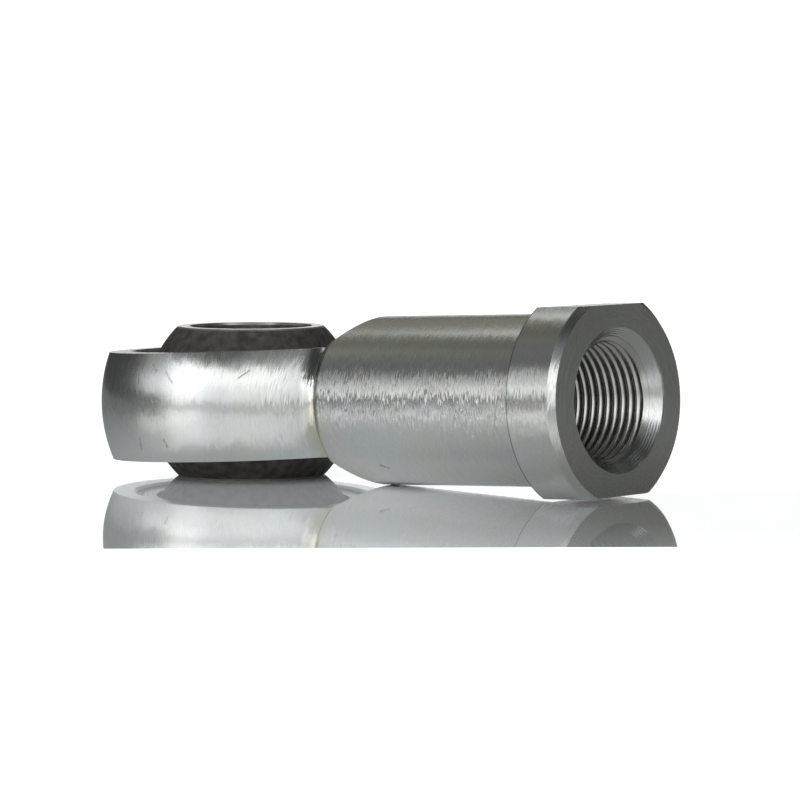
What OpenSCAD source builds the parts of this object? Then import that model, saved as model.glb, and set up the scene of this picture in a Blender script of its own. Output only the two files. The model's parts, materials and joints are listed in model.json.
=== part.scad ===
// Female rod end with a spherical plain bearing, for the end of a cylinder rod.
// Lengths are in millimetres and angles in degrees.
// The origin is the centre of the ball, +Z runs along the pin bore and +X points to the threaded mouth.
// The part lies as it comes to rest: the inner ring sits flat and the body leans on its shank.

/* [Inner ring] */
// Diameter of the pin bore
pin_d = 20; // [17:0.5:22]
// Width of the inner ring along the pin
ring_w = 25; // [22.5:0.5:27]
// Diameter of the ball
ball_d = 34.925; // [33.5:0.025:36]
// Bevel at each end of the pin bore
pin_bevel = 0.4; // [0.2:0.1:1]

/* [Bearing] */
// Radial gap in which the ball runs
ball_gap = 0.1; // [0.05:0.05:0.3]
// Thickness of the sliding liner
liner_t = 0.5; // [0.3:0.1:0.8]
// Depth of the liner's edges below the faces of the race
liner_inset = 0.3; // [0.1:0.1:1]
// Wall of the outer race round the ball's equator
race_wall = 1.4; // [1:0.1:2]
// Depth of the race's faces below the faces of the eye
race_recess = 0.8; // [0.3:0.1:1.5]
// Width of the staking groove in each face of the race
stake_w = 0.8; // [0.4:0.1:1.2]
// Lip of the race outside its staking groove
stake_lip = 0.3; // [0.2:0.1:0.5]
// Radial play of the race in the eye, and of the liner in the race
seat_gap = 0.02; // [0.01:0.01:0.05]

/* [Eye] */
// Diameter of the spherical head
head_d = 50; // [47:0.5:56]
// Width across the milled faces of the eye
eye_w = 17.8; // [16:0.2:20]
// Bevel at each end of the eye's bore
eye_bevel = 0.5; // [0.2:0.1:1]

/* [Neck and shank] */
// Diameter of the neck, which is a groove between the head and the shank
neck_d = 23; // [21:0.5:25]
// Length of the neck between its fillet and the shank
neck_l = 1.15; // [0.9:0.05:2]
// Radius of the fillet between the head and the neck
neck_fillet = 3; // [2:0.25:5]
// Diameter of the shank
shank_d = 27.5; // [27:0.25:29]
// Rounding of the shank's edge beside the neck
shank_round = 1; // [0.4:0.1:1.5]
// Reach of the milled faces from the ball to the foot of their ramps
milled_reach = 25.3; // [24:0.1:30]
// Slope of the ramps from the milled faces up to the shank
ramp_angle = 45; // [35:1:60]

/* [Collar] */
// Reach from the ball to the end face at the mouth
mouth_reach = 77; // [70:1:95]
// Diameter of the collar
collar_d = 34.4; // [32.4:0.2:38]
// Length of the collar
collar_l = 9; // [6:0.5:14]
// Width across the wrench flats
wrench_w = 30; // [29:0.5:31.5]
// Bevel round the end face
collar_bevel = 1; // [0.4:0.1:2]

/* [Threaded hole] */
// Outer diameter of the thread, which is the wall of the hole
thread_d = 20; // [16:0.5:21]
// Depth of the hole at its full diameter
thread_l = 40; // [30:1:46]
// Diameter of the countersunk mouth at the end face
mouth_d = 23; // [21.5:0.5:26]
// Angle of the drill point at the bottom of the hole
drill_angle = 118; // [90:1:140]

/* [Hidden] */
$fn = 96;
// Cuts reach this far past the faces that they open
past = 1;

// The bearing is built outwards from the ball, so each layer follows the one inside it
ball_r = ball_d / 2;
ring_half = ring_w / 2;
liner_in_r = ball_r + ball_gap;
liner_out_r = liner_in_r + liner_t;
race_in_r = liner_out_r + seat_gap;
race_r = race_in_r + race_wall;
race_w = eye_w - 2 * race_recess;
eye_r = race_r + seat_gap;

// The fillet is tangent to the head and to the neck, and the shank's shoulder stands behind the neck
head_r = head_d / 2;
neck_r = neck_d / 2;
shank_r = shank_d / 2;
fillet_r = neck_r + neck_fillet;
fillet_x = sqrt(pow(head_r + neck_fillet, 2) - pow(fillet_r, 2));
shoulder_x = fillet_x + neck_l;
round_x = shoulder_x + shank_round;
ramp_top_x = milled_reach + (shank_r - eye_w / 2) / tan(ramp_angle);
collar_x = mouth_reach - collar_l;

// The body tips up until the first of its low points is level with the ring's lower face
function tip_to_touch(half, x) = acos(ring_half / norm([half, x])) - atan2(x, half);
rest_tilt = max(tip_to_touch(shank_r, ramp_top_x), tip_to_touch(wrench_w / 2, collar_x));

// Lays the body and the pieces fixed in its eye at the angle of rest
module at_rest() {
    rotate([0, -rest_tilt, 0]) children();
}

// Turns a profile of radius and length about the axis of the shank
module turned() {
    rotate([0, 90, 0]) rotate_extrude() children();
}

// A conical bevel at the upper end of a bore along Z
module bore_bevel(r, size, top) {
    translate([0, 0, top - size]) cylinder(r1 = r, r2 = r + size + past, h = size + past);
}

// The head, filleted neck, shank and collar as they leave the lathe
module turned_profile() {
    intersection() {
        circle(r = head_r);
        translate([0, -head_r]) square([head_r, head_d]);
    }
    difference() {
        polygon([[0, 0], [fillet_r, fillet_x], [0, fillet_x]]);
        translate([fillet_r, fillet_x]) circle(r = neck_fillet);
    }
    translate([0, fillet_x]) square([neck_r, round_x - fillet_x]);
    translate([0, shoulder_x]) square([shank_r - shank_round, shank_round]);
    translate([shank_r - shank_round, round_x]) circle(r = shank_round);
    translate([0, round_x]) square([shank_r, collar_x - round_x]);
    polygon([
        [0, collar_x],
        [collar_d / 2, collar_x],
        [collar_d / 2, mouth_reach - collar_bevel],
        [collar_d / 2 - collar_bevel, mouth_reach],
        [0, mouth_reach]
    ]);
}

// The hole for the rod's thread, with its countersunk mouth and drill point
module hole_profile() {
    thread_r = thread_d / 2;
    mouth_r = mouth_d / 2;
    hole_end = mouth_reach - thread_l;
    polygon([
        [0, mouth_reach + past],
        [mouth_r + past, mouth_reach + past],
        [thread_r, mouth_reach - (mouth_r - thread_r)],
        [thread_r, hole_end],
        [0, hole_end - thread_r / tan(drill_angle / 2)]
    ]);
}

// What the mill takes off above the eye, with the ramp that its cutter leaves on the shank
module milled_cut() {
    ramp_rise = head_r - eye_w / 2 + past;
    rotate([90, 0, 0]) linear_extrude(head_d + 2 * past, center = true) polygon([
        [-head_d, eye_w / 2],
        [milled_reach, eye_w / 2],
        [milled_reach + ramp_rise / tan(ramp_angle), head_r + past],
        [-head_d, head_r + past]
    ]);
}

// What the mill takes off the collar above one wrench flat
module wrench_cut() {
    translate([collar_x - past, -collar_d, wrench_w / 2]) cube([collar_l + 2 * past, 2 * collar_d, collar_d]);
}

// The turned and milled steel body: eye, neck, shank and threaded collar in one piece
module rod_end_body() {
    color("#a9abaa") at_rest() difference() {
        turned() turned_profile();
        turned() hole_profile();
        cylinder(r = eye_r, h = eye_w + 2 * past, center = true);
        for (side = [0, 1]) mirror([0, 0, side]) {
            milled_cut();
            wrench_cut();
            bore_bevel(eye_r, eye_bevel, eye_w / 2);
        }
    }
}

// The steel race pressed into the eye, with a groove in each face where its lip is staked outwards
module outer_race() {
    groove_r = race_r - stake_lip;
    color("#8f9192") at_rest() difference() {
        cylinder(r = race_r, h = race_w, center = true);
        sphere(r = race_in_r);
        for (side = [0, 1]) mirror([0, 0, side]) rotate_extrude() polygon([
            [groove_r - stake_w, race_w / 2 + past],
            [groove_r - stake_w, race_w / 2],
            [groove_r - stake_w / 2, race_w / 2 - stake_w / 2],
            [groove_r, race_w / 2],
            [groove_r, race_w / 2 + past]
        ]);
    }
}

// The thin low-friction liner bonded inside the race
module sliding_liner() {
    color("#5b5040") at_rest() difference() {
        intersection() {
            sphere(r = liner_out_r);
            cube([2 * race_r, 2 * race_r, race_w - 2 * liner_inset], center = true);
        }
        sphere(r = liner_in_r);
    }
}

// The ball with its two flat faces and the pin bore
module inner_ring() {
    color("#3f3d3b") difference() {
        intersection() {
            sphere(r = ball_r);
            cube([ball_d, ball_d, ring_w], center = true);
        }
        cylinder(d = pin_d, h = ring_w + 2 * past, center = true);
        for (side = [0, 1]) mirror([0, 0, side]) bore_bevel(pin_d / 2, pin_bevel, ring_half);
    }
}

rod_end_body();
outer_race();
sliding_liner();
inner_ring();
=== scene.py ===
# %% [markdown]
# # A rod end with a ball joint
#
# A rod end screws onto a cylinder's rod and swivels on a pin. The steel body, the race, the liner and
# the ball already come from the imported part, at their real size and place. This lesson gives them their
# finish, cuts the fine inside thread, and sets up the camera, the floor and the light.
# Loading the part first means that everything after it can take its sizes from the part.

# %% Load the part
import json
import math

import bpy
from mathutils import Matrix, Vector

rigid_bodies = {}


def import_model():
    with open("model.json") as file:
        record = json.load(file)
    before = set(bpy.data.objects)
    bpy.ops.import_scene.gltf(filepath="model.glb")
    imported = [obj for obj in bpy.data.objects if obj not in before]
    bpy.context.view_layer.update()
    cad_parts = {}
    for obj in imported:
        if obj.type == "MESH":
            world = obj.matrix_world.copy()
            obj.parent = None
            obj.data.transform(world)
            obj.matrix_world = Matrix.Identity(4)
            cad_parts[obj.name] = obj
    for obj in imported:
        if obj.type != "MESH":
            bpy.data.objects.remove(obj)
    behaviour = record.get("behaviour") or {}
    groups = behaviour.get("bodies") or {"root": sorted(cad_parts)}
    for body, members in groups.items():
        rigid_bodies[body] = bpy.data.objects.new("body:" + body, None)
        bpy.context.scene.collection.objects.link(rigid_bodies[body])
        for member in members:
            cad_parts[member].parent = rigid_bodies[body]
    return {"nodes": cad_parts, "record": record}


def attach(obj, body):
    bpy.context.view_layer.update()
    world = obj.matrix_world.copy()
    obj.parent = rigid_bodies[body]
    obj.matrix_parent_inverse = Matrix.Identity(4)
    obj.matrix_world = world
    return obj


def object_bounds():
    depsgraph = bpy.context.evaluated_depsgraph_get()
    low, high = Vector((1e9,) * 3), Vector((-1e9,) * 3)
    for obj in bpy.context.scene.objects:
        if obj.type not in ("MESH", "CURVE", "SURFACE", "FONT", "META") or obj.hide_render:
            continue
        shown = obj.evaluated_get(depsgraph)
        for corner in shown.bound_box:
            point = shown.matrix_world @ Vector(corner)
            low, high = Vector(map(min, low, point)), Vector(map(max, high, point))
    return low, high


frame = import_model()
cad_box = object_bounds()
nodes = frame["nodes"]
mounts = {mount["name"]: mount for mount in frame["record"]["mounts"]}
print("pieces from the part:", sorted(nodes))

# %% [markdown]
# ## The body's own axis
#
# The part lies as it comes to rest: the ball sits flat and the body leans on its shank, so the axis of
# the shank is tipped up a little. Turning marks and threads run round that axis. It could be typed in
# as an angle, but the record states it as the direction of the threaded hole, so it is read from there.

# %% Read the axis of the shank
MM = 0.001
thread_mount = mounts["rod_thread"]
shank_axis = Vector(thread_mount["axis"]).normalized()
tilt = math.atan2(shank_axis.z, shank_axis.x)
mouth_reach = Vector(mounts["lock_nut_face"]["pos_m"]).dot(shank_axis)
print("shank tipped up by", round(math.degrees(tilt), 2), "degrees")
print("mouth at", round(mouth_reach / MM, 1), "mm from the ball")

# %% [markdown]
# ## The camera
#
# The photograph looks along the part from low down, with a long lens. A camera can be placed by eye, but
# here its distance, its two angles and its focal length were solved together from edges of known size.
# BALL_PIXEL is the pixel of the photograph at which the centre of the ball is seen.

# %% Place the camera
PHOTO_SIDE = 800
FOCAL_PIXELS = 4413.3
SENSOR_WIDTH = 36.0
CAMERA_DISTANCE = 0.7390
CAMERA_AZIMUTH = math.radians(39.75)
CAMERA_ELEVATION = math.radians(3.974)
CAMERA_ROLL = math.radians(-0.185)
BALL_PIXEL = (251.15, 400.0)
CLIP_NEAR = 0.05
CLIP_FAR = 20.0

to_camera = Vector((
    math.sin(CAMERA_AZIMUTH) * math.cos(CAMERA_ELEVATION),
    -math.cos(CAMERA_AZIMUTH) * math.cos(CAMERA_ELEVATION),
    math.sin(CAMERA_ELEVATION),
))
level_right = Vector((math.cos(CAMERA_AZIMUTH), math.sin(CAMERA_AZIMUTH), 0.0))
camera_turn = Matrix((level_right, to_camera.cross(level_right), to_camera)).transposed()
camera_turn = camera_turn @ Matrix.Rotation(CAMERA_ROLL, 3, "Z")
pixel_at_ball = CAMERA_DISTANCE / FOCAL_PIXELS
aside = (PHOTO_SIDE / 2 - BALL_PIXEL[0]) * pixel_at_ball
above = (BALL_PIXEL[1] - PHOTO_SIDE / 2) * pixel_at_ball
camera_place = to_camera * CAMERA_DISTANCE + camera_turn @ Vector((aside, above, 0.0))

bpy.ops.object.select_all(action="DESELECT")
bpy.ops.object.camera_add(location=camera_place, rotation=camera_turn.to_euler())
camera = bpy.context.object
camera.name = "camera"
camera.data.sensor_width = SENSOR_WIDTH
camera.data.lens = FOCAL_PIXELS / PHOTO_SIDE * SENSOR_WIDTH
camera.data.clip_start = CLIP_NEAR
camera.data.clip_end = CLIP_FAR
bpy.context.scene.camera = camera
print("lens", round(camera.data.lens, 1), "mm at", round(CAMERA_DISTANCE, 3), "m")

# %% [markdown]
# ## The inside thread
#
# The hole holds a fine thread with a pitch of 1.5 mm, and its bright crests are what the eye goes to.
# A bump could fake it, but the crests stand out against the dark grooves and need real depth.
# One ridge is drawn as a section with rounded corners and a Screw modifier winds it down the hole.
# The solid's wall is the bottom of the grooves, so the ridge is added on it and sunk a little into it.

# %% Wind the thread
THREAD_PITCH = 1.5 * MM
CREST_FLAT = THREAD_PITCH / 4
FLANK_SLOPE = math.tan(math.radians(30))
CREST_DEPTH = 0.54 * THREAD_PITCH
SUNK = 0.08 * MM
CREST_ROUND = 0.20 * MM
CREST_SEGMENTS = 3
STEPS_PER_TURN = 80
MOUTH_RADIUS = 11.5 * MM
THREAD_START = 0.5 * MM
THREAD_END_GAP = 2.0 * MM

wall_radius = thread_mount["dims"]["r_mm"] * MM
wall_length = thread_mount["dims"]["length_mm"] * MM
section_height = CREST_DEPTH + SUNK
section_base = CREST_FLAT + 2 * section_height * FLANK_SLOPE
first_section = mouth_reach - THREAD_START
turns = int((wall_length - THREAD_END_GAP) / THREAD_PITCH)

bpy.ops.object.select_all(action="DESELECT")
section_middle = wall_radius + SUNK - section_height / 2
bpy.ops.mesh.primitive_plane_add(size=1, location=(first_section, section_middle, 0))
thread = bpy.context.object
thread.name = "inside_thread"
thread.scale = (section_base, section_height, 1)
bpy.ops.object.transform_apply(location=True, rotation=True, scale=True)
bpy.ops.object.mode_set(mode="EDIT")
bpy.ops.mesh.select_all(action="DESELECT")
bpy.ops.object.mode_set(mode="OBJECT")
for vertex in thread.data.vertices:
    if vertex.co.y < section_middle:
        vertex.co.x = first_section + (vertex.co.x - first_section) * CREST_FLAT / section_base
    vertex.select = vertex.co.y < section_middle
bpy.ops.object.mode_set(mode="EDIT")
bpy.ops.mesh.select_mode(type="VERT")
bpy.ops.mesh.bevel(offset=CREST_ROUND, segments=CREST_SEGMENTS, affect="VERTICES")
bpy.ops.mesh.select_all(action="SELECT")
bpy.ops.mesh.delete(type="ONLY_FACE")
bpy.ops.object.mode_set(mode="OBJECT")
winding = thread.modifiers.new("winding", "SCREW")
winding.axis = "X"
winding.screw_offset = -THREAD_PITCH
winding.iterations = turns
winding.steps = STEPS_PER_TURN
winding.render_steps = STEPS_PER_TURN
bpy.ops.object.modifier_apply(modifier=winding.name)
print("thread wound in", turns, "turns,", len(thread.data.polygons), "faces")

# %% [markdown]
# A countersink opens the mouth, and it cuts the first turns off at a slope. A Boolean could do that,
# but moving each point of the ridge out to the countersink's cone gives the same edge with a clean mesh.
# The ends are then closed, the faces are turned outwards, and the thread is tipped up with the shank.

# %% Trim and seat the thread
TRIM_GAP = 0.04 * MM
SHARP_ANGLE = math.radians(35)

for vertex in thread.data.vertices:
    radius = math.hypot(vertex.co.y, vertex.co.z)
    cone_radius = MOUTH_RADIUS - (mouth_reach - vertex.co.x) + TRIM_GAP
    if radius < cone_radius:
        vertex.co.y *= cone_radius / radius
        vertex.co.z *= cone_radius / radius
bpy.ops.object.mode_set(mode="EDIT")
bpy.ops.mesh.select_all(action="DESELECT")
bpy.ops.mesh.select_mode(type="EDGE")
bpy.ops.mesh.select_non_manifold()
bpy.ops.mesh.edge_face_add()
bpy.ops.mesh.select_all(action="SELECT")
bpy.ops.mesh.normals_make_consistent(inside=False)
bpy.ops.object.mode_set(mode="OBJECT")
bpy.ops.object.shade_smooth_by_angle(angle=SHARP_ANGLE)
thread.rotation_euler = (0.0, -tilt, 0.0)
bpy.ops.object.transform_apply(location=False, rotation=True, scale=False)
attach(thread, "housing")
print("thread seated,", [round(side / MM, 1) for side in thread.dimensions], "mm")

# %% [markdown]
# ## Shader helpers
#
# Every finish here is a node tree. Clicking the nodes together by hand would give the same trees, but a
# few small helpers keep them readable: one adds a node and fills or links its sockets, and the others do
# the same for the kinds of node that are used most.

# %% Node helpers
def add_node(tree, kind, sockets=None, **options):
    """Adds a shader node, sets its options, and fills or links its input sockets."""
    made = tree.nodes.new("ShaderNode" + kind)
    for name, value in options.items():
        setattr(made, name, value)
    for socket, value in (sockets or {}).items():
        if isinstance(value, bpy.types.NodeSocket):
            tree.links.new(value, made.inputs[socket])
        else:
            made.inputs[socket].default_value = value
    return made


def calculate(tree, operation, first, second=0.0):
    """The result socket of one Math node."""
    made = add_node(tree, "Math", {0: first, 1: second}, operation=operation)
    return made.outputs[0]


def product(tree, first, *others):
    """Several values multiplied together."""
    for other in others:
        first = calculate(tree, "MULTIPLY", first, other)
    return first


def gap_to(tree, value, middle):
    """How far a value is from a middle, either way."""
    return calculate(tree, "ABSOLUTE", calculate(tree, "SUBTRACT", value, middle))


def remap(tree, value, low, high, to_low, to_high):
    """A Map Range node that carries low..high to to_low..to_high and stops at the ends."""
    sockets = {"Value": value, "From Min": low, "From Max": high, "To Min": to_low, "To Max": to_high}
    return add_node(tree, "MapRange", sockets).outputs["Result"]


def blend_colours(tree, factor, first, second, mode="MIX"):
    """A Mix node for two colours."""
    made = add_node(tree, "Mix", data_type="RGBA", blend_type=mode)
    sockets = {0: factor, 6: first, 7: second}
    for socket, value in sockets.items():
        if isinstance(value, bpy.types.NodeSocket):
            tree.links.new(value, made.inputs[socket])
        else:
            made.inputs[socket].default_value = value
    return made.outputs[2]


def shade_with(tree, mask, colour, tone):
    """A colour multiplied by a tone where the mask is 1."""
    return blend_colours(tree, mask, colour, blend_colours(tree, 1.0, colour, tone, "MULTIPLY"))


def noise(tree, place, scale, detail):
    """Soft random tones from 0 to 1."""
    made = add_node(tree, "TexNoise", {"Vector": place, "Scale": scale, "Detail": detail})
    return made.outputs["Fac"]


def new_material(name, **constants):
    """A material with its Principled shader, whose constant sockets are set directly."""
    material = bpy.data.materials.new(name)
    material.use_nodes = True
    shader = material.node_tree.nodes["Principled BSDF"]
    for socket, value in constants.items():
        title = socket.replace("_", " ").title().replace("Ior", "IOR")
        shader.inputs[title].default_value = value
    return material, material.node_tree, shader


def give(piece, material):
    """Puts one material in every slot of a piece, or in a new slot where it has none."""
    if not piece.material_slots:
        piece.data.materials.append(material)
    for slot in piece.material_slots:
        slot.material = material


# %% [markdown]
# Directions and places need the same kind of helpers, for Vector Math nodes.

# %% Vector helpers
def calculate_vector(tree, operation, first, second=(0.0, 0.0, 0.0)):
    """The vector from one Vector Math node."""
    made = add_node(tree, "VectorMath", {0: first, 1: second}, operation=operation)
    return made.outputs["Vector"]


def scale_vector(tree, vector, amount):
    """A vector drawn out or shortened by an amount."""
    made = add_node(tree, "VectorMath", {0: vector, "Scale": amount}, operation="SCALE")
    return made.outputs["Vector"]


def distance_between(tree, first, second=(0.0, 0.0, 0.0)):
    """How far apart two places are, or how far one is from the origin."""
    made = add_node(tree, "VectorMath", {0: first, 1: second}, operation="DISTANCE")
    return made.outputs["Value"]


def tip(tree, vector, angle):
    """A direction turned about the Y axis."""
    made = add_node(tree, "VectorRotate", {
        "Vector": vector, "Axis": (0.0, 1.0, 0.0), "Angle": angle,
    }, rotation_type="AXIS_ANGLE")
    return made.outputs["Vector"]


def to_world(tree, vector):
    """A direction carried from the piece into the scene."""
    made = add_node(tree, "VectorTransform", {
        "Vector": vector,
    }, vector_type="VECTOR", convert_from="OBJECT", convert_to="WORLD")
    return made.outputs["Vector"]


# %% [markdown]
# ## Places on the turned body
#
# A lathe leaves marks that run round the axis, so a pattern needs to know how far along the shank and
# how far round it a point is. A UV map could hold that, but it would have a seam. Object coordinates,
# tipped back by the tilt and measured in millimetres, give all of it with no seam: the way along the axis,
# the radius, and the spoke that points from the axis to the surface.

# %% Coordinates round the shank
ALONG = (1.0, 0.0, 0.0)
TANGENT_SHARE = 0.3


def lathe_places(tree):
    """Sockets for the place in millimetres, the spoke, and the place on the turned profile."""
    place = add_node(tree, "TexCoord").outputs["Object"]
    upright = add_node(tree, "Mapping", {
        "Vector": place, "Rotation": (0.0, tilt, 0.0), "Scale": (1 / MM, 1 / MM, 1 / MM),
    }).outputs["Vector"]
    along = add_node(tree, "SeparateXYZ", {0: upright}).outputs
    across = add_node(tree, "CombineXYZ", {"Y": along["Y"], "Z": along["Z"]}).outputs[0]
    spoke = calculate_vector(tree, "NORMALIZE", across)
    radius = distance_between(tree, across)
    profile = add_node(tree, "CombineXYZ", {"X": along["X"], "Z": radius}).outputs[0]
    return upright, spoke, profile


def streaks(tree, place, profile, lines_per_mm, pieces_per_mm):
    """Noise drawn out into lines that run round the axis."""
    fine = scale_vector(tree, profile, lines_per_mm)
    turned = scale_vector(tree, place, pieces_per_mm)
    return noise(tree, calculate_vector(tree, "ADD", turned, fine), 1.0, 1.0)


def profile_tangent(tree, spoke):
    """The direction along the turned profile, across the marks, in which the gloss spreads."""
    leaning = scale_vector(tree, spoke, TANGENT_SHARE)
    along = calculate_vector(tree, "ADD", leaning, ALONG)
    return to_world(tree, tip(tree, along, -tilt))


# %% [markdown]
# ## Marks of use
#
# The body has been handled: a few short scratches on the eye, a dent low on the shank, and a sprinkle of
# tiny pits. A painted picture could hold them, but it would blur close up. Each scratch is given by its two
# ends in millimetres instead, and a few nodes measure how far a point is from the line between them.

# %% Scratches and pits
SCRATCHES = (
    ((3.1, -24.1, 5.9), (4.6, -24.2, 4.1), 0.26),
    ((0.2, -23.9, 7.2), (1.1, -24.2, 6.2), 0.22),
    ((-3.0, -24.1, 5.8), (-2.7, -24.5, 4.0), 0.20),
    ((0.8, -25.0, 1.2), (1.4, -25.0, 0.2), 0.20),
    ((-3.1, -24.3, -4.7), (-3.1, -23.9, -6.7), 0.24),
    ((2.4, -24.3, -5.2), (2.7, -24.0, -6.3), 0.30),
    ((14.9, -19.5, 4.7), (16.1, -18.2, 5.9), 0.18),
    ((35.8, -9.5, -9.9), (37.1, -9.0, -10.4), 0.34),
)
SCRATCH_CORE = 0.25
PITS_PER_MM = 0.22
PIT_SIZE = 0.075
PIT_EDGE = 0.03
PIT_RARITY = 3.0
PIT_STRENGTH = 0.6
GAPS_PER_MM = 2.2
GAP_TONES = (0.38, 0.58)
LEFT_IN_GAPS = 0.2


def scratch(tree, place, start, end, half_width):
    """1 on the line between two places, fading to 0 beside it."""
    run = Vector(end) - Vector(start)
    offset = calculate_vector(tree, "SUBTRACT", place, start)
    share = add_node(tree, "VectorMath", {0: offset, 1: run / run.length_squared}, operation="DOT_PRODUCT")
    share = remap(tree, share.outputs["Value"], 0.0, 1.0, 0.0, 1.0)
    gap = distance_between(tree, offset, scale_vector(tree, run, share))
    return remap(tree, gap, SCRATCH_CORE * half_width, half_width, 1.0, 0.0)


def wear(tree, place):
    """1 in scratches and pits, 0 on sound plating."""
    points = add_node(tree, "TexVoronoi", {"Vector": place, "Scale": PITS_PER_MM}).outputs
    small = add_node(tree, "SeparateColor", {0: points["Color"]}).outputs[0]
    edge = product(tree, calculate(tree, "POWER", small, PIT_RARITY), PIT_SIZE)
    pits = calculate(tree, "SUBTRACT", edge, points["Distance"])
    worn = remap(tree, pits, 0.0, PIT_EDGE, 0.0, PIT_STRENGTH)
    for start, end, half_width in SCRATCHES:
        worn = calculate(tree, "MAXIMUM", worn, scratch(tree, place, start, end, half_width))
    gaps = noise(tree, place, GAPS_PER_MM, 2.0)
    return product(tree, worn, remap(tree, gaps, *GAP_TONES, LEFT_IN_GAPS, 1.0))


print("marks of use:", len(SCRATCHES), "scratches and a sprinkle of pits")

# %% [markdown]
# ## Zinc-plated steel
#
# The body was turned, milled and then zinc plated, which leaves an even satin grey. Each tool left marks of
# its own: fine lines round the shank, arcs on the milled faces, rings in the countersink. Every face could
# have a material of its own, but the plating runs over them all without a seam. So there is one material,
# and the place of a point and the way it faces tell which marks it gets.

# %% Tell the cut faces apart
EYE_FACE = (9.2, 9.6)
WRENCH_FLAT = (14.4, 14.7)
END_FACING = (0.92, 0.98)
UP_FACING = (0.93, 0.97)
CONE_FACING = 0.71
CONE_SPREAD = (0.03, 0.06)
CONE_RIM = 0.2
CONE_DEPTH = (3.0, 2.5)


def cut_faces(tree, spot, reach):
    """Three masks: 1 on the end face, on the milled faces and in the countersink, with 0 elsewhere."""
    direction = tip(tree, add_node(tree, "TexCoord").outputs["Normal"], tilt)
    looks = add_node(tree, "SeparateXYZ", {0: direction}).outputs
    end_face = remap(tree, looks["X"], *END_FACING, 0.0, 1.0)
    height = calculate(tree, "ABSOLUTE", spot["Z"])
    eye = remap(tree, height, *EYE_FACE, 1.0, 0.0)
    wrench = remap(tree, height, *WRENCH_FLAT, 0.0, 1.0)
    upward = remap(tree, calculate(tree, "ABSOLUTE", looks["Z"]), *UP_FACING, 0.0, 1.0)
    milled = product(tree, upward, calculate(tree, "MAXIMUM", eye, wrench))
    slope = remap(tree, gap_to(tree, looks["X"], CONE_FACING), *CONE_SPREAD, 1.0, 0.0)
    rim = MOUTH_RADIUS / MM
    inward = remap(tree, reach, rim, rim + CONE_RIM, 1.0, 0.0)
    mouth = mouth_reach / MM
    sunk = remap(tree, spot["X"], mouth - CONE_DEPTH[0], mouth - CONE_DEPTH[1], 0.0, 1.0)
    return end_face, milled, product(tree, slope, inward, sunk)


print("countersink's rim at", round(MOUTH_RADIUS / MM, 1), "mm from the axis")

# %% [markdown]
# What the eye sees as streaks is light caught by thousands of short marks that lean up or down a little. A
# bump could make them, but it loses its strength when the marks are as fine as a pixel. So the marks tip the
# direction of the surface itself: most on the shank, less on the collar, and hardly at all on the head,
# which is only a little uneven from tumbling.

# %% Lean the marks
HEAD_LEAN = 0.08
SHANK_LEAN = 0.50
COLLAR_SHARE = 0.45
RUBBED_UP_TO = (4.5, 8.0)
UNRUBBED_SHARE = 0.33
HEAD_UNEVEN = 0.07
SHANK_UNEVEN = 0.05
HEAD_TO_SHANK = (16.0, 26.0)
SHANK_TO_COLLAR = (67.9, 68.1)
MIDDLE_TONES = (0.35, 0.65)
PATCHES_PER_MM = 0.35
PATCH_STRENGTH = (0.4, 1.6)
SWELLS_PER_MM = 0.42


def marks_lean(tree, place, spot, short):
    """How far the short marks and the unevenness tip the surface."""
    marks = product(
        tree,
        calculate(tree, "SUBTRACT", short, 0.5),
        remap(tree, noise(tree, place, PATCHES_PER_MM, 2.0), *MIDDLE_TONES, *PATCH_STRENGTH),
        remap(tree, spot["X"], *HEAD_TO_SHANK, HEAD_LEAN, SHANK_LEAN),
        remap(tree, spot["X"], *SHANK_TO_COLLAR, 1.0, COLLAR_SHARE),
        remap(tree, spot["Z"], *RUBBED_UP_TO, 1.0, UNRUBBED_SHARE),
    )
    uneven = calculate(tree, "SUBTRACT", noise(tree, place, SWELLS_PER_MM, 3.0), 0.5)
    swell = remap(tree, spot["X"], *HEAD_TO_SHANK, HEAD_UNEVEN, SHANK_UNEVEN)
    return calculate(tree, "ADD", marks, product(tree, uneven, swell))


def leaning_surface(tree, spoke, amount):
    """The surface's direction, tipped up or down round the shank by an amount."""
    around = calculate_vector(tree, "CROSS_PRODUCT", spoke, ALONG)
    push = scale_vector(tree, to_world(tree, tip(tree, around, -tilt)), amount)
    straight = add_node(tree, "NewGeometry").outputs["Normal"]
    return calculate_vector(tree, "NORMALIZE", calculate_vector(tree, "ADD", straight, push))


print("marks lean", SHANK_LEAN, "on the shank and", HEAD_LEAN, "on the head")

# %% [markdown]
# The tone of the plating is nearly even, with faint warm and cool clouds. Handling has rubbed the shank and
# one side of the eye at half height, and there the marks change the tone too. A little yellow from the
# plating bath has dried in the neck. Painted shade darkens a thin line at two edges, the shank's edge by the
# neck and the collar's step, where the gaps lie in shadow. These could be painted on as a picture, but masks
# worked out from the place stay sharp close up.

# %% Tone of the plating
PLATING = (0.54, 0.545, 0.54, 1.0)
PLATING_WARM = (1.0, 0.985, 0.95, 1.0)
PLATING_COOL = (0.96, 0.99, 1.0, 1.0)
CLOUDS_PER_MM = 0.12
SHANK_FROM = (25.0, 26.0)
EYE_SIDE = (-2.0, -10.0)
RUBBED_FROM = (-4.0, -1.0)
RUB_MARKS = (0.2, 0.8)
RUB_TONE = (0.65, 1.35)
RESIDUE = (1.0, 0.97, 0.78, 1.0)
NECK_MIDDLE = 24.3
NECK_SPREAD = (0.8, 3.0)
RESIDUE_HEIGHT = (3.0, -3.0)
RESIDUE_SHARE = (0.2, 1.0)
WORN_TONE = (0.50, 0.49, 0.49, 1.0)
# Painted shade: the tone of the thin dark lines at the shank's edge by the neck and at the collar's step.
EDGE_PAINTED_SHADE = (0.40, 0.39, 0.38, 1.0)
COLLAR_EDGE = 68.0
COLLAR_SHADE_LINE = (0.14, 0.24)
SHANK_EDGE = 25.8
SHANK_SHADE_LINE = (0.40, 0.70)
SHANK_SHADE_LINE_LOW = (-5.0, -2.0)


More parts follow.
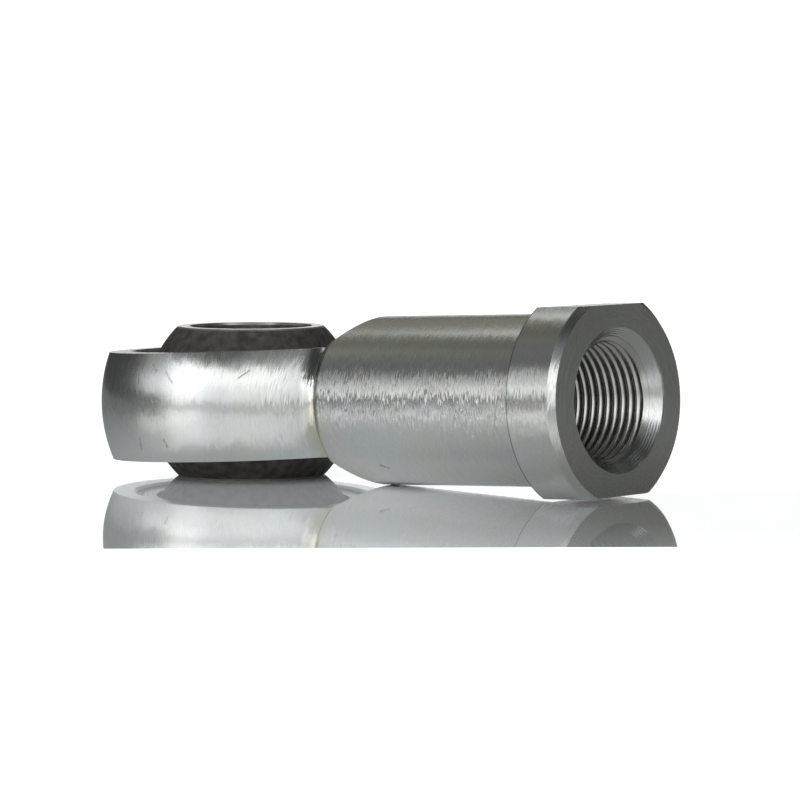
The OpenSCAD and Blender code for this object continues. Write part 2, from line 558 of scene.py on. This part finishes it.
def painted_edge_shade(tree, spot, reach, width):
    """1 on a thin line round the shank at an edge, where shade is painted."""
    return remap(tree, gap_to(tree, spot["X"], reach), *width, 1.0, 0.0)


def rubbed(tree, spot):
    """How far handling has rubbed the shank, the collar and one side of the eye."""
    lower = remap(tree, spot["Z"], *RUBBED_FROM, 0.0, 1.0)
    upper = remap(tree, spot["Z"], *RUBBED_UP_TO, 1.0, 0.0)
    shank = remap(tree, spot["X"], *SHANK_FROM, 0.0, 1.0)
    shank = product(tree, shank, remap(tree, spot["X"], *SHANK_TO_COLLAR, 1.0, COLLAR_SHARE))
    eye = remap(tree, spot["X"], *EYE_SIDE, 0.0, 1.0)
    return product(tree, lower, upper, calculate(tree, "MAXIMUM", shank, eye))


def plating_colour(tree, place, spot, short, worn):
    """The plating's tone with its clouds, rubbed marks, dried residue, wear and painted shade at two edges.
    """
    clouds = remap(tree, noise(tree, place, CLOUDS_PER_MM, 3.0), *MIDDLE_TONES, 0.0, 1.0)
    cast = blend_colours(tree, clouds, PLATING_WARM, PLATING_COOL)
    colour = blend_colours(tree, 1.0, PLATING, cast, "MULTIPLY")
    colour = shade_with(tree, rubbed(tree, spot), colour, remap(tree, short, *RUB_MARKS, *RUB_TONE))
    dried = remap(tree, gap_to(tree, spot["X"], NECK_MIDDLE), *NECK_SPREAD, 1.0, 0.0)
    dried = product(tree, dried, remap(tree, spot["Z"], *RESIDUE_HEIGHT, *RESIDUE_SHARE))
    colour = shade_with(tree, dried, colour, RESIDUE)
    colour = shade_with(tree, worn, colour, WORN_TONE)
    # Painted shade: thin dark lines at the shank's edge, only above its lower part, and at the collar's
    # step.
    painted_shade = painted_edge_shade(tree, spot, SHANK_EDGE, SHANK_SHADE_LINE)
    painted_shade = product(tree, painted_shade, remap(tree, spot["Z"], *SHANK_SHADE_LINE_LOW, 0.0, 1.0))
    painted_shade = calculate(tree, "MAXIMUM", painted_shade, painted_edge_shade(tree, spot, COLLAR_EDGE, COLLAR_SHADE_LINE))
    return shade_with(tree, painted_shade, colour, EDGE_PAINTED_SHADE)


print("dirt lines at", SHANK_EDGE, "and", COLLAR_EDGE, "mm along the shank")

# %% [markdown]
# Now the marks come together in one material. The gloss is satin and spreads across the turning marks, as on
# any brushed metal. The finest lines, the cutter's arcs and the countersink's rings are a few thousandths of
# a millimetre deep, too shallow to model, so a bump gives them.

# %% Finish of the body
SPREAD = 0.65
SHORT_STREAKS = (4.8, 0.75)
FINE_STREAKS = (11.0, 0.3)
WIDE_TONES = (0.3, 0.7)
SATIN = (0.28, 0.22)
WORN_ROUGHER = 0.15
COUNTERSINK_CALM = 0.85
END_FACE_SHARE = 0.9
CUTTER_ARC = 80.0
CUTTER_STEP = 0.4
ARC_DEPTH = 1.5
RING_STEP = 1.0
RING_DEPTH = 6.0
WORN_DEPTH = 4.0
MARK_STRENGTH = 0.6
MARK_DEPTH = 0.004 * MM


def cutter_arcs(tree, spot):
    """The shallow arcs that a face cutter leaves."""
    bow = calculate(tree, "DIVIDE", product(tree, spot["Y"], spot["Y"]), CUTTER_ARC)
    arc = add_node(tree, "CombineXYZ", {"X": calculate(tree, "ADD", spot["X"], bow)}).outputs[0]
    return add_node(tree, "TexWave", {
        "Vector": arc, "Scale": CUTTER_STEP, "Distortion": 1.2, "Detail": 2.0,
    }).outputs["Fac"]


def cone_rings(tree, profile):
    """The rings that a countersinking tool leaves."""
    return add_node(tree, "TexWave", {
        "Vector": profile, "Scale": RING_STEP, "Distortion": 0.8, "Detail": 2.0,
    }, bands_direction="Z").outputs["Fac"]


def zinc_plated_steel(name):
    """Satin plated steel with turning marks round the shank."""
    material, tree, shader = new_material(name, metallic=1.0, anisotropic=SPREAD)
    place, spoke, profile = lathe_places(tree)
    spot = add_node(tree, "SeparateXYZ", {0: place}).outputs
    reach = add_node(tree, "SeparateXYZ", {0: profile}).outputs["Z"]
    end_face, milled, countersink = cut_faces(tree, spot, reach)
    turned = calculate(tree, "SUBTRACT", 1.0, calculate(tree, "MAXIMUM", end_face, milled))
    streaked = calculate(tree, "SUBTRACT", turned, product(tree, countersink, COUNTERSINK_CALM))
    worn = wear(tree, place)
    short = streaks(tree, place, profile, *SHORT_STREAKS)
    fine = streaks(tree, place, profile, *FINE_STREAKS)

    tree.links.new(plating_colour(tree, place, spot, short, worn), shader.inputs["Base Color"])
    satin = remap(tree, fine, *WIDE_TONES, *SATIN)
    rough = calculate(tree, "ADD", satin, product(tree, worn, WORN_ROUGHER))
    tree.links.new(rough, shader.inputs["Roughness"])
    tree.links.new(profile_tangent(tree, spoke), shader.inputs["Tangent"])

    arcs = product(tree, cutter_arcs(tree, spot), milled, ARC_DEPTH)
    rings = product(tree, cone_rings(tree, profile), countersink, RING_DEPTH)
    brushed = calculate(tree, "MAXIMUM", turned, product(tree, end_face, END_FACE_SHARE))
    relief = calculate(tree, "ADD", product(tree, fine, brushed), calculate(tree, "ADD", arcs, rings))
    relief = calculate(tree, "SUBTRACT", relief, product(tree, worn, WORN_DEPTH))
    tipped = product(tree, marks_lean(tree, place, spot, short), streaked)
    bump = add_node(tree, "Bump", {
        "Strength": MARK_STRENGTH,
        "Distance": MARK_DEPTH,
        "Height": relief,
        "Normal": leaning_surface(tree, spoke, tipped),
    })
    tree.links.new(bump.outputs["Normal"], shader.inputs["Normal"])
    return material


plated = zinc_plated_steel("zinc_plated_steel")
give(nodes["rod_end_body"], plated)
print("finish on the body:", plated.name, "with", len(plated.node_tree.nodes), "nodes")

# %% [markdown]
# ## The cut thread
#
# A tap tears the steel a little as it cuts, so the flanks of the thread are coarser than the shank, and
# they sparkle. The body's material could go on it too, but its marks run the wrong way here. So the thread
# gets a simple material of its own: no turning marks, and a fine noise that tilts the surface in grains.

# %% Finish of the thread
THREAD_STEEL = (0.54, 0.535, 0.525, 1.0)
THREAD_DULL = (0.44, 0.44, 0.43, 1.0)
GRAINS_PER_MM = 5.0
GRAIN_GLOSS = (0.27, 0.17)
GRAIN_STRENGTH = 0.5
GRAIN_DEPTH = 0.010 * MM


def cut_thread_steel(name):
    """Plated steel as a tap leaves it: grainy and sparkling."""
    material, tree, shader = new_material(name, metallic=1.0)
    place = lathe_places(tree)[0]
    grain = noise(tree, place, GRAINS_PER_MM, 2.0)
    tree.links.new(blend_colours(tree, grain, THREAD_DULL, THREAD_STEEL), shader.inputs["Base Color"])
    tree.links.new(remap(tree, grain, *WIDE_TONES, *GRAIN_GLOSS), shader.inputs["Roughness"])
    bump = add_node(tree, "Bump", {"Strength": GRAIN_STRENGTH, "Distance": GRAIN_DEPTH, "Height": grain})
    tree.links.new(bump.outputs["Normal"], shader.inputs["Normal"])
    return material


give(thread, cut_thread_steel("plated_thread"))
print("finish on the thread:", thread.material_slots[0].material.name)

# %% [markdown]
# ## The dark ball
#
# The ball is hard steel with a dark oiled coating that is dull and blotchy, a little brown, with faint
# smudges from handling. Its two flat faces and the edges of the bore were ground after coating, so they
# are bright: they show in the photograph as a thin light rim. Both finishes are in one material, because
# the real piece is one piece, and the height of a point and the way it faces tell them apart.

# %% Finish of the ball
BALL_DARK = (0.064, 0.059, 0.052, 1.0)
BALL_LIGHT = (0.130, 0.124, 0.118, 1.0)
GROUND_STEEL = (0.50, 0.49, 0.47, 1.0)
RING_HALF = mounts["ring_upper_face"]["pos_m"][2]
GROUND_DEPTH = 0.42 * MM
GROUND_EDGE = 0.02 * MM
GROUND_FACING = (0.69, 0.70)
GROUND_ROUGHNESS = 0.24
BLOTCHES_PER_M = 700.0
BLOTCH_TONES = (0.36, 0.64)
COAT_METAL = 0.45
COAT_ROUGHNESS = (0.58, 0.44)
COAT_GRAINS_PER_M = 2600.0
COAT_STRENGTH = 0.4
COAT_DEPTH = 0.004 * MM


def dark_ball_steel(name):
    """Dark coated steel with smudges and ground faces."""
    material, tree, shader = new_material(name)
    where = add_node(tree, "TexCoord").outputs
    place = where["Object"]
    height = calculate(tree, "ABSOLUTE", add_node(tree, "SeparateXYZ", {0: place}).outputs["Z"])
    upward = calculate(tree, "ABSOLUTE", add_node(tree, "SeparateXYZ", {0: where["Normal"]}).outputs["Z"])
    ground_from = RING_HALF - GROUND_DEPTH
    near_face = remap(tree, height, ground_from, ground_from + GROUND_EDGE, 0.0, 1.0)
    ground = product(tree, near_face, remap(tree, upward, *GROUND_FACING, 0.0, 1.0))
    blotches = noise(tree, place, BLOTCHES_PER_M, 4.0)
    coat = blend_colours(tree, remap(tree, blotches, *BLOTCH_TONES, 0.0, 1.0), BALL_DARK, BALL_LIGHT)
    tree.links.new(blend_colours(tree, ground, coat, GROUND_STEEL), shader.inputs["Base Color"])
    tree.links.new(remap(tree, ground, 0.0, 1.0, COAT_METAL, 1.0), shader.inputs["Metallic"])
    dull = remap(tree, blotches, *MIDDLE_TONES, *COAT_ROUGHNESS)
    tree.links.new(remap(tree, ground, 0.0, 1.0, dull, GROUND_ROUGHNESS), shader.inputs["Roughness"])
    grain = noise(tree, place, COAT_GRAINS_PER_M, 2.0)
    bump = add_node(tree, "Bump", {"Strength": COAT_STRENGTH, "Distance": COAT_DEPTH, "Height": grain})
    tree.links.new(bump.outputs["Normal"], shader.inputs["Normal"])
    return material


give(nodes["inner_ring"], dark_ball_steel("dark_ball_steel"))
print("ball dressed; ground faces at", round(RING_HALF / MM, 1), "mm above and below its middle")

# %% [markdown]
# ## The race and its liner
#
# Only the edges of these two show, in the gap round the ball. The race is turned steel that was never
# plated, and the liner is a woven low-friction cloth, dull and brown. So little shows that one pattern
# each is enough: rings for the race and a fine check for the weave.

# %% Finish of the race and the liner
RACE_TONE = (0.36, 0.355, 0.345, 1.0)
RACE_BRIGHT = (0.46, 0.455, 0.44, 1.0)
LINER_DARK = (0.10, 0.082, 0.06, 1.0)
LINER_LIGHT = (0.20, 0.165, 0.12, 1.0)
RACE_RINGS_PER_M = 700.0
RACE_GLOSS = (0.38, 0.26)
WEAVE_PER_M = 3000.0
LINER_ROUGHNESS = 0.75


def race_steel(name):
    """Bare turned steel with rings round the pin's axis."""
    material, tree, shader = new_material(name, metallic=1.0)
    place = add_node(tree, "TexCoord").outputs["Object"]
    rings = add_node(tree, "TexWave", {
        "Vector": place, "Scale": RACE_RINGS_PER_M, "Distortion": 1.5, "Detail": 2.0,
    }, wave_type="RINGS", rings_direction="Z").outputs["Fac"]
    tree.links.new(blend_colours(tree, rings, RACE_TONE, RACE_BRIGHT), shader.inputs["Base Color"])
    tree.links.new(remap(tree, rings, 0.0, 1.0, *RACE_GLOSS), shader.inputs["Roughness"])
    return material


def liner_fabric(name):
    """A dull woven liner."""
    material, tree, shader = new_material(name, roughness=LINER_ROUGHNESS)
    place = add_node(tree, "TexCoord").outputs["Object"]
    weave = add_node(tree, "TexChecker", {
        "Vector": place, "Scale": WEAVE_PER_M, "Color1": LINER_DARK, "Color2": LINER_LIGHT,
    }).outputs["Color"]
    tree.links.new(weave, shader.inputs["Base Color"])
    return material


give(nodes["outer_race"], race_steel("race_steel"))
give(nodes["sliding_liner"], liner_fabric("liner_fabric"))
print("race and liner dressed")

# %% [markdown]
# ## Floor and backdrop
#
# A photographer lays one sheet of glossy white board on a pale table and curves it up behind the part, so
# no line shows where floor turns into wall. It is made the same way: a plane, its far edge pulled up, and
# the fold rounded with a wide bevel.

# %% Lay the board
BOARD_WIDTH = 0.5
BOARD_LENGTH = 3.0
BOARD_BACK = 1.3
BOARD_RISE = 0.36
BOARD_FOLD = 0.24
FLOOR_GAP = 0.02 * MM
FOLD_SEGMENTS = 24

bpy.ops.object.select_all(action="DESELECT")
bpy.ops.mesh.primitive_plane_add(size=1)
board = bpy.context.object
board.name = "floor_board"
board.scale = (BOARD_WIDTH, BOARD_LENGTH, 1.0)
bpy.ops.object.transform_apply(location=False, rotation=False, scale=True)
bpy.ops.object.mode_set(mode="EDIT")
bpy.ops.mesh.select_mode(type="EDGE")
bpy.ops.mesh.select_all(action="DESELECT")
bpy.ops.object.mode_set(mode="OBJECT")
for edge in board.data.edges:
    edge.select = all(board.data.vertices[corner].co.y > 0 for corner in edge.vertices)
bpy.ops.object.mode_set(mode="EDIT")
bpy.ops.mesh.extrude_region_move(TRANSFORM_OT_translate={"value": (0.0, 0.0, BOARD_RISE)})
bpy.ops.object.mode_set(mode="OBJECT")
for edge in board.data.edges:
    ends = [board.data.vertices[corner].co for corner in edge.vertices]
    edge.select = all(end.y > 0 and end.z < BOARD_RISE / 2 for end in ends)
bpy.ops.object.mode_set(mode="EDIT")
bpy.ops.mesh.bevel(offset=BOARD_FOLD, segments=FOLD_SEGMENTS, affect="EDGES")
bpy.ops.object.mode_set(mode="OBJECT")
bpy.ops.object.shade_smooth()
board.location = (0.0, BOARD_BACK - BOARD_LENGTH / 2, 0.0)
bpy.ops.object.transform_apply(location=True, rotation=False, scale=False)
board.rotation_euler = (0.0, 0.0, CAMERA_AZIMUTH)
board.location = (0.0, 0.0, cad_box[0].z - FLOOR_GAP)
bpy.ops.object.transform_apply(location=True, rotation=True, scale=False)
print("board laid at", round(board.data.vertices[0].co.z / MM, 2), "mm")

# %% Set the table under it
TABLE_SIDE = 6.0
TABLE_DROP = 0.5 * MM
TABLE_ROUGHNESS = 0.5
BOARD_COLOUR = (0.79, 0.80, 0.80, 1.0)

bpy.ops.object.select_all(action="DESELECT")
bpy.ops.mesh.primitive_plane_add(size=TABLE_SIDE)
table = bpy.context.object
table.name = "table_top"
table.location.z = cad_box[0].z - FLOOR_GAP - TABLE_DROP
bpy.ops.object.transform_apply(location=True, rotation=False, scale=False)
table_material, tree, shader = new_material("pale_table", roughness=TABLE_ROUGHNESS)
shader.inputs["Base Color"].default_value = BOARD_COLOUR
give(table, table_material)
print("table set", round(TABLE_DROP / MM, 1), "mm below the board")

# %% [markdown]
# The board has a hard gloss that mirrors the part. It also glows, but only as the camera, gloss and glass
# see it: white far away, and a little near the part, so that the lower half of the metal shows a pale floor.
# More lamps could do that, but they would also brighten everything else. Painted shadow takes the glow
# out where the part touches the board, and in front of the mouth, where the part keeps the light off.

# %% Gloss and glow of the board
BOARD_GLOSS = 0.03
COAT_BEND = 2.0
SHADE_MIDDLE = (0.115, 0.005, 0.0)
SHADE_REACH = (0.035, 0.085)
GLOW_SHADE = 0.04
GLOW_NEAR = 0.35
GLOW_FAR = 0.75
GLOW_COOL = (0.95, 1.0, 1.03, 1.0)
GLOW_WHITE = (1.0, 1.0, 1.0, 1.0)
GLOW_REACH = (0.16, 0.70)
RING_CONTACT_SHADOW = (0.0175, 0.026)
SHANK_CONTACT_SHADOW = ((30.5 * MM, 0.0, 0.0), (12.0 * MM, 4.0 * MM, 1.0))
COLLAR_CONTACT_SHADOW = ((72.5 * MM, 0.0, 0.0), (8.0 * MM, 11.0 * MM, 1.0))
CONTACT_SHADOW_FADE = (0.5, 1.0)


def outside_contact_shadow(tree, place, middle, reach):
    """Painted contact shadow in the glow: 0 where the body all but touches the board, 1 a little way off."""
    offset = calculate_vector(tree, "SUBTRACT", place, middle)
    apart = distance_between(tree, calculate_vector(tree, "DIVIDE", offset, reach))
    return remap(tree, apart, *CONTACT_SHADOW_FADE, 0.0, 1.0)


board_material, tree, shader = new_material(
    "glossy_board", roughness=BOARD_GLOSS, coat_weight=1.0, coat_roughness=BOARD_GLOSS, coat_ior=COAT_BEND,
)
shader.inputs["Base Color"].default_value = BOARD_COLOUR
place = add_node(tree, "TexCoord").outputs["Object"]
from_ball = distance_between(tree, place)
from_shade = distance_between(tree, place, SHADE_MIDDLE)
# The near glow carries painted shadow: it is dimmed in front of the mouth and fades out under the ring, the
# shank and the collar.
near_glow = product(
    tree,
    remap(tree, from_shade, *SHADE_REACH, GLOW_SHADE, GLOW_NEAR),
    remap(tree, from_ball, *RING_CONTACT_SHADOW, 0.0, 1.0),
    outside_contact_shadow(tree, place, *SHANK_CONTACT_SHADOW),
    outside_contact_shadow(tree, place, *COLLAR_CONTACT_SHADOW),
)
glow = calculate(tree, "ADD", near_glow, remap(tree, from_ball, *GLOW_REACH, 0.0, GLOW_FAR))
rays = add_node(tree, "LightPath").outputs
seen = calculate(tree, "MAXIMUM", rays["Is Camera Ray"], rays["Is Glossy Ray"])
seen = calculate(tree, "MAXIMUM", seen, rays["Is Transmission Ray"])
far_share = remap(tree, from_ball, *GLOW_REACH, 0.0, 1.0)
tree.links.new(blend_colours(tree, far_share, GLOW_COOL, GLOW_WHITE), shader.inputs["Emission Color"])
tree.links.new(product(tree, glow, seen), shader.inputs["Emission Strength"])
give(board, board_material)
print("board glows", GLOW_NEAR, "near the part and up to", GLOW_NEAR + GLOW_FAR, "far away")

# %% [markdown]
# In the photograph the mirror image stops at a straight line in front of the part. A sheet of matt white
# paper laid over the front of the board does that. A mask in the board's gloss could do it too, but a sheet
# is what a photographer would use, and it is one plane.

# %% Lay the paper
PAPER_REACH = 0.1215
PAPER_LENGTH = 1.0
PAPER_LIFT = 0.1 * MM
PAPER_GLOW = 0.3
PAPER_WHITE = (0.80, 0.80, 0.80, 1.0)

bpy.ops.object.select_all(action="DESELECT")
bpy.ops.mesh.primitive_plane_add(size=1)
paper = bpy.context.object
paper.name = "front_paper"
paper.scale = (BOARD_WIDTH, PAPER_LENGTH, 1.0)
paper.location = (0.0, -PAPER_REACH - PAPER_LENGTH / 2, 0.0)
bpy.ops.object.transform_apply(location=True, rotation=False, scale=True)
paper.rotation_euler = (0.0, 0.0, CAMERA_AZIMUTH)
paper.location = (0.0, 0.0, cad_box[0].z - FLOOR_GAP + PAPER_LIFT)
bpy.ops.object.transform_apply(location=True, rotation=True, scale=False)
paper_material, tree, shader = new_material("matt_paper", roughness=1.0, specular_ior_level=0.0)
shader.inputs["Base Color"].default_value = PAPER_WHITE
shader.inputs["Emission Color"].default_value = GLOW_WHITE
rays = add_node(tree, "LightPath").outputs
mirrored = calculate(tree, "MAXIMUM", rays["Is Glossy Ray"], rays["Is Transmission Ray"])
paper_glow = calculate(tree, "MAXIMUM", rays["Is Camera Ray"], product(tree, mirrored, PAPER_GLOW))
tree.links.new(paper_glow, shader.inputs["Emission Strength"])
give(paper, paper_material)
print("paper laid", round(PAPER_REACH / MM), "mm in front of the ball")

# %% [markdown]
# ## Light
#
# Shiny metal shows what stands round it more than what shines on it. One big lamp would light the part, but
# it would leave the metal flat. So soft panels stand where the part should show a bright band: two long
# rows from left to right in front, one above the other, dim panels higher up, one overhead, and dim warm
# ones behind. What is left is a dim even room, which gives the dark bands between.

# %% Set the lamps
def soft_panel(name, around, rise, across, tall, distance, brightness, colour):
    """A soft lamp, placed and sized by the angles at which the part sees it, left of the camera and up."""
    turn = CAMERA_AZIMUTH - math.radians(around)
    lift = math.radians(rise)
    toward = Vector((math.sin(turn) * math.cos(lift), -math.cos(turn) * math.cos(lift), math.sin(lift)))
    data = bpy.data.lights.new(name, "AREA")
    data.shape = "RECTANGLE"
    data.size = 2 * distance * math.tan(math.radians(across / 2))
    data.size_y = 2 * distance * math.tan(math.radians(tall / 2))
    data.energy = brightness * math.pi * data.size * data.size_y
    data.color = colour
    lamp = bpy.data.objects.new(name, data)
    bpy.context.scene.collection.objects.link(lamp)
    lamp.location = toward * distance
    lamp.rotation_euler = toward.to_track_quat("Z", "Y").to_euler()
    lamp.visible_camera = False
    print(name, "at", [round(side, 2) for side in lamp.location])
    return lamp


WHITE = (1.0, 1.0, 1.0)
WARM = (1.0, 0.98, 0.76)
LAMPS = (
    ("left_wing", 78, 10.5, 28, 10, 0.70, 1.15, WHITE),
    ("left_panel", 50, 8, 28, 15, 0.70, 2.2, WHITE),
    ("inner_left_panel", 26, 8, 20, 15, 0.80, 1.2, WHITE),
    ("front_panel", 8, 8, 16, 15, 0.95, 1.45, WHITE),
    ("front_right_panel", -10, 8, 20, 15, 0.90, 1.35, WHITE),
    ("right_panel", -42, 8, 44, 15, 0.70, 1.35, WHITE),
    ("upper_left_wing", 78, 22, 28, 12, 0.70, 0.50, WHITE),
    ("upper_left_panel", 50, 21.5, 28, 13, 0.70, 2.5, WHITE),
    ("upper_inner_left_panel", 26, 21, 20, 12, 0.80, 1.7, WHITE),
    ("upper_front_panel", 8, 21, 16, 12, 0.95, 1.8, WHITE),
    ("upper_front_right_panel", -10, 21.5, 20, 13, 0.90, 1.85, WHITE),
    ("upper_right_panel", -44, 22, 48, 14, 0.70, 1.5, WHITE),
    ("raised_left_panel", 98, 40, 40, 20, 0.70, 0.17, WHITE),
    ("raised_right_panel", -34, 37, 70, 18, 0.80, 0.17, WHITE),
    ("far_right_panel", -115, 20, 70, 50, 0.90, 0.06, WARM),
    ("high_panel", 180, 73, 44, 34, 0.85, 1.2, WHITE),
    ("back_panel", 146, 46, 58, 30, 0.70, 0.17, WARM),
    ("low_back_panel", 172, 27, 30, 18, 0.80, 0.09, WARM),
)
for lamp in LAMPS:
    soft_panel(*lamp)

# %% Dim the room
ROOM_COLOUR = (0.96, 0.98, 1.0, 1.0)
ROOM_BRIGHTNESS = 0.06
world = bpy.data.worlds.new("room")
bpy.context.scene.world = world
world.use_nodes = True
room = world.node_tree.nodes["Background"]
room.inputs["Color"].default_value = ROOM_COLOUR
room.inputs["Strength"].default_value = ROOM_BRIGHTNESS
bpy.context.scene.view_settings.view_transform = "Standard"
print("room lit at", ROOM_BRIGHTNESS)
